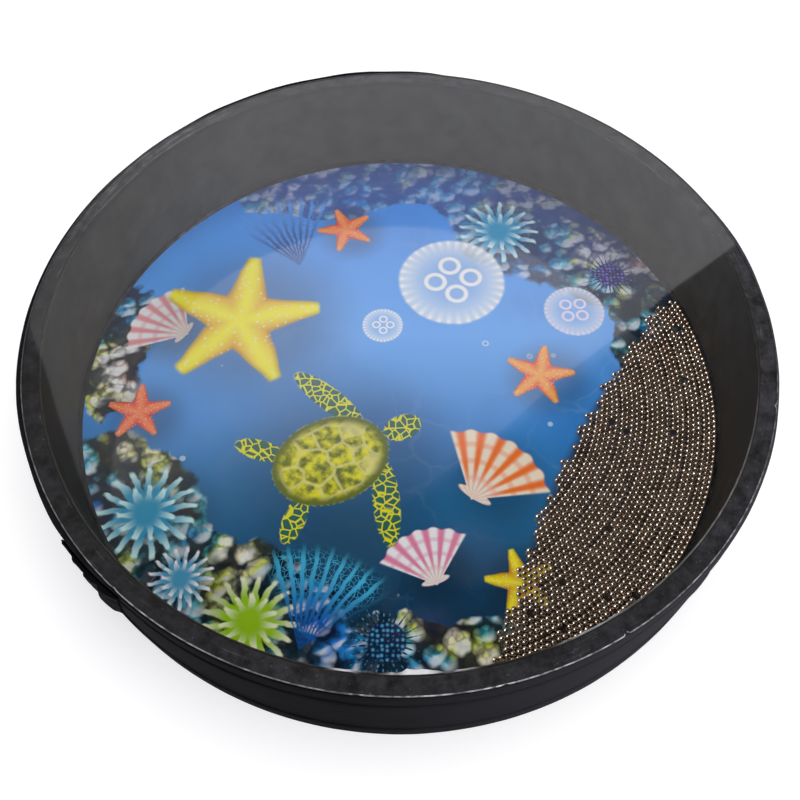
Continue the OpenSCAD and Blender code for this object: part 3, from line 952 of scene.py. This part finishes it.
def draw_fan(tree, place, light, dark):
    root = add(tree, "Mapping", warped(tree, place, 0.3, 0.1), Location=(0, 1.0, 0))
    inside, along, _ = arms(tree, root, 44, 0.01, 0.045)
    flat = add(tree, "SeparateXYZ", root)
    angle = math_of(tree, "ABSOLUTE", math_of(tree, "ARCTAN2", flat.outputs["X"], flat.outputs["Y"]))
    wide = soft_step(tree, angle, 0.5, 0.75, 1.0, 0.0)
    fan_reach_and_painted_shade = soft_step(tree, along, 1.5, 1.9, 1.0, 0.0)
    net = add(tree, "TexVoronoi", root, Scale=11, feature="DISTANCE_TO_EDGE")
    threads = either(tree, soft_step(tree, inside, 0.0, 0.02), soft_step(tree, net, 0.02, 0.05, 1.0, 0.0))
    cover = both(tree, both(tree, wide, fan_reach_and_painted_shade), threads)
    return cover, blend(tree, soft_step(tree, along, 0.4, 1.8), dark, light)


scallop = motif("scallop", draw_scallop)
jelly = motif("moon_jelly", draw_jelly)
sea_fan = motif("sea_fan", draw_fan)

# %% [markdown]
# The ground of the picture is water, navy at the player's side and lighter beyond, with a faint net of
# light and a few bubbles.

# %% Water
printed, tree, place = finish("printed_polyester_film")
north = add(tree, "SeparateXYZ", place).outputs["Y"]
PICTURE_REACH = 144 * MM
northward = add(tree, "MapRange", north, -PICTURE_REACH, PICTURE_REACH, 0.0, 1.0)
picture = add(tree, "ValToRGB", northward, stops=(
    (0.06, "#0c2c44"), (0.92, "#1a8ef8"), (0.16, "#0e4264"), (0.3, "#2374a8"), (0.44, "#3b92e0"),
    (0.6, "#5caeff"), (0.76, "#4aa4ff"),
))
cloud = add(tree, "TexNoise", place, Scale=1 / (60 * MM), Detail=3)
picture = blend(tree, soft_step(tree, cloud, 0.45, 0.8, 0.0, 0.3), picture, "#1259b0")
rippled = warped(tree, place, 14 * MM, 14 * MM)
net = add(tree, "TexVoronoi", rippled, Scale=1 / (24 * MM), feature="DISTANCE_TO_EDGE")
glint = both(tree, soft_step(tree, net, 0.0, 0.05, 1.0, 0.0), soft_step(tree, cloud, 0.45, 0.7, 0.0, 0.12))
picture = blend(tree, glint, picture, "#a8d4f0")
bubbles = add(tree, "TexVoronoi", place, Scale=1 / (21 * MM))
ring = math_of(tree, "ABSOLUTE", math_of(tree, "SUBTRACT", bubbles, 0.07))
picture = blend(tree, soft_step(tree, ring, 0.008, 0.025, 0.7, 0.0), picture, "#d5ecfa")
print("water of", len(tree.nodes), "nodes")

# %% [markdown]
# Banks of coral lie over the water: round lumps 7.5 mm apart with smaller knobs on them, lit on one side
# and with dark gaps between. Their colour drifts from blue to teal, yellow and cream over some 50 mm, and
# the far banks are blue with distance. Under the shot the picture is painted dark brown: painted shade of
# the pile.

# %% Banks of coral
# Middle, half width, half height and turn of each bank, in mm and degrees
BANKS = (
    (76, 100, 74, 40, -38), (-24, 128, 66, 22, 8), (122, 30, 22, 52, 0), (-112, -66, 46, 32, -54),
    (-62, -108, 50, 30, -24), (10, -128, 56, 22, 0), (-134, 22, 18, 40, 0),
)
rough_place = warped(tree, warped(tree, place, 26 * MM, 26 * MM), 7 * MM, 7 * MM)
# The noise is 0.5 on average, so it moves what it warps by half its amount
SHIFT = 16
banks = 0.0
for x, y, wide, high, turn in BANKS:
    x, y, wide, high = (x + SHIFT) * MM, (y + SHIFT) * MM, wide * MM, high * MM
    banks = either(tree, banks, oval(tree, rough_place, x, y, wide, high, turn=turn, soft=0.04))
tint = add(tree, "TexNoise", place, Scale=1 / (52 * MM), Detail=2)
coral = add(tree, "ValToRGB", tint, stops=(
    (0.3, "#0f6fe8"), (0.72, "#ffb98a"), (0.4, "#12a4e0"), (0.45, "#8cecff"), (0.49, "#1fb4b4"),
    (0.53, "#e4ee30"), (0.58, "#fff7c0"), (0.65, "#ffffff"),
))
knob_place = warped(tree, place, 9 * MM, 6 * MM)
LUMP = 7.5 * MM
lumps = add(tree, "TexVoronoi", knob_place, Scale=1 / LUMP)
lit_side = add(tree, "Mapping", knob_place, Location=(1.0 * MM, -1.4 * MM, 0))
slope = math_of(tree, "SUBTRACT", add(tree, "TexVoronoi", lit_side, Scale=1 / LUMP), lumps)
knobs = add(tree, "TexVoronoi", knob_place, Scale=1 / (2.8 * MM))
reef = add(tree, "TexNoise", place, Scale=1 / (19 * MM), Detail=3)
coral = blend(tree, soft_step(tree, knobs, 0.35, 0.75, 0.0, 0.65), coral, "#08304c")
coral = blend(tree, soft_step(tree, slope, 0.0, 0.2, 0.0, 0.7), coral, "#fbffff")
coral = blend(tree, soft_step(tree, slope, -0.3, 0.0, 0.85, 0.0), coral, "#062036")
coral = blend(tree, soft_step(tree, lumps, 0.45, 0.75, 0.0, 0.95), coral, "#04111e")
coral = blend(tree, soft_step(tree, reef, 0.5, 0.6, 0.0, 0.93), coral, "#06192b")
distance = soft_step(tree, north, 0.03, 0.13, 0.0, 0.55)
coral = blend(tree, distance, coral, "#1568dc")
picture = blend(tree, banks, picture, coral)
# Painted shade: a dark brown oval under the pile of shot stands for the shade between the balls
fan_reach_and_painted_shade = oval(tree, place, 101 * MM, -52 * MM, 31 * MM, 104 * MM, turn=-27.4, soft=0.1)
picture = blend(tree, both(tree, fan_reach_and_painted_shade, 0.93), picture, "#2a1a0f")
print(len(BANKS), "banks of coral,", len(tree.nodes), "nodes so far")

# %% [markdown]
# Now the motifs, far to near as they overlap. The star, the scallop, the turtle and the anemone throw a
# soft shadow on what lies under them.

# %% Motifs over the water
# Drawing, place across and up in mm, radius in mm, turn in degrees, light and dark colour
MOTIFS = (
    (sea_fan, -58, 96, 26, 20, "#4fa3ff", "#123f8f"),
    (anemone, 52, 96, 21, 0, "#dcfbff", "#0f9cd0"),
    (urchin, 104, 66, 17, 0, "#9a8cff", "#1a1f6a"),
    (anemone, -104, -62, 22, 10, "#d6fffa", "#0c94bc"),
    (anemone, -58, -108, 20, 40, "#fbffd8", "#9ccc0c"),
    (urchin, -4, -118, 18, 0, "#57b6e8", "#0a2a4d"),
    (sea_fan, -30, -98, 24, -15, "#4cd4ff", "#0a5cb0"),
    (anemone, -86, -92, 14, 0, "#ffffff", "#4a9fc4"),
    (scallop, -112, 34, 16, 60, "#ffffff", "#f4a0a8"),
    (star, -74, 40, 40, 12, "#fff500", "#f0b400"),
    (star, -28, 96, 15, 40, "#ff9440", "#f03c08"),
    (jelly, 26, 62, 27, 10, "#dcefff", "#ffffff"),
    (jelly, 84, 44, 15, 50, "#cfe6ff", "#f7e9ff"),
    (jelly, -8, 34, 10, 0, "#cfe6ff", "#ffffff"),
    (turtle, -28, -38, 44, 28, "#f2ec14", "#66720c"),
    (star, 66, 8, 17, 5, "#ffae4a", "#fa5008"),
    (scallop, 40, -44, 19, -35, "#fff0d4", "#ff7a1e"),
    (star, 50, -92, 15, 30, "#fff200", "#e0a000"),
    (scallop, 12, -84, 14, 20, "#ffffff", "#f088ac"),
    (star, -116, -14, 15, 20, "#ff8a50", "#f02c10"),
)
for drawing, x, y, radius, turn, light, dark in MOTIFS:
    at = add(tree, "Mapping", place, Location=(x * MM, y * MM, 0), Rotation=(0, 0, math.radians(turn)),
             Scale=(radius * MM, radius * MM, 1), vector_type="TEXTURE")
    drawn = add(tree, "Group", at, node_tree=drawing, Light=light, Dark=dark)
    if drawing in (star, scallop, turtle, anemone):
        under = oval(tree, place, (x + 3) * MM, (y - 4) * MM, radius * MM, radius * MM, soft=0.5)
        picture = blend(tree, both(tree, under, 0.45), picture, "#06131f")
    picture = blend(tree, drawn.outputs["Cover"], picture, drawn.outputs["Shade"])
print(len(MOTIFS), "motifs,", len(tree.nodes), "nodes in the picture")

# %% Printed film
fine = add(tree, "TexNoise", place, Scale=1 / (90 * MM), Detail=1)
relief = add(tree, "Bump", Height=fine, Strength=0.1, Distance=1 * MM)
gloss = add(tree, "BsdfPrincipled", Base_Color=picture, Roughness=0.09, IOR=2.3, Normal=relief)
add(tree, "OutputMaterial", gloss)
mesh = frame["nodes"]["printed_head"].data
mesh.materials.clear()
mesh.materials.append(printed)
print("printed_head is finished in", printed.name)
